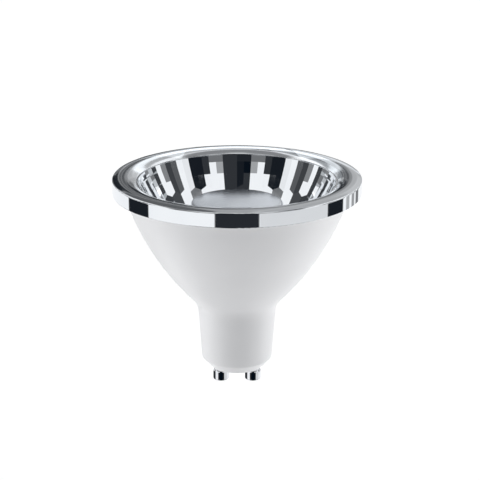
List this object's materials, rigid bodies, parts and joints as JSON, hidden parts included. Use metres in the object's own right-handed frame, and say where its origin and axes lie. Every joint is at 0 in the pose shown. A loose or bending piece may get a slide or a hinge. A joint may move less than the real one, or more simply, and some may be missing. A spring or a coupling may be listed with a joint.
{
  "type": "led spot bulb",
  "caption": "Spot bulb with a white flared housing, a bright trim ring, an open faceted reflector around a raised disc, and a twist-and-lock base with headed pins.",
  "frame": {"origin": "midway between the two contact pins, in the plane of their tips", "axes": "+Z along the lamp's axis from the pins to the rim, +X from the left pin to the right pin, +Y to the back"},
  "size_m": [0.075, 0.075, 0.0666],
  "materials": {
    "housing": "satin white moulding",
    "bezel_ring": "bright plated mirror finish",
    "reflector": "vapour-metallised flat facets",
    "glare_cap": "satin anodised",
    "heat_sink_cup": "plain pressed sheet",
    "thermal_pad": "soft matt sheet",
    "led_board": "white coated board",
    "led_packages": "phosphor-filled emitters",
    "cap_screw": "zinc plated",
    "board_screws": "zinc plated",
    "driver_board": "green laminate",
    "bulk_capacitor": "sleeved can",
    "output_capacitor": "sleeved can",
    "film_capacitor": "moulded box",
    "transformer_core": "sintered ferrite",
    "transformer_bobbin": "black moulding",
    "transformer_winding": "enamelled copper wire",
    "filter_choke": "wound ferrite drum",
    "bridge_rectifier": "black moulding",
    "driver_chip": "black moulding",
    "fuse_resistor": "coated body",
    "contact_pin_left": "bright nickel plated",
    "contact_pin_right": "bright nickel plated",
    "mains_lead_left": "insulated wire",
    "mains_lead_right": "insulated wire",
    "output_lead_positive": "insulated wire",
    "output_lead_negative": "insulated wire"
  },
  "bodies": {
    "root": {"housing": "housing", "bezel_ring": "bezel_ring", "reflector": "reflector", "glare_cap": "glare_cap", "heat_sink_cup": "heat_sink_cup", "thermal_pad": "thermal_pad", "led_board": "led_board", "led_packages": "led_packages", "cap_screw": "cap_screw", "board_screws": "board_screws", "driver_board": "driver_board", "bulk_capacitor": "bulk_capacitor", "output_capacitor": "output_capacitor", "film_capacitor": "film_capacitor", "transformer_core": "transformer_core", "transformer_bobbin": "transformer_bobbin", "transformer_winding": "transformer_winding", "filter_choke": "filter_choke", "bridge_rectifier": "bridge_rectifier", "driver_chip": "driver_chip", "fuse_resistor": "fuse_resistor", "contact_pin_left": "contact_pin_left", "contact_pin_right": "contact_pin_right", "mains_lead_left": "mains_lead_left", "mains_lead_right": "mains_lead_right", "output_lead_positive": "output_lead_positive", "output_lead_negative": "output_lead_negative"}
  },
  "joints": []
}
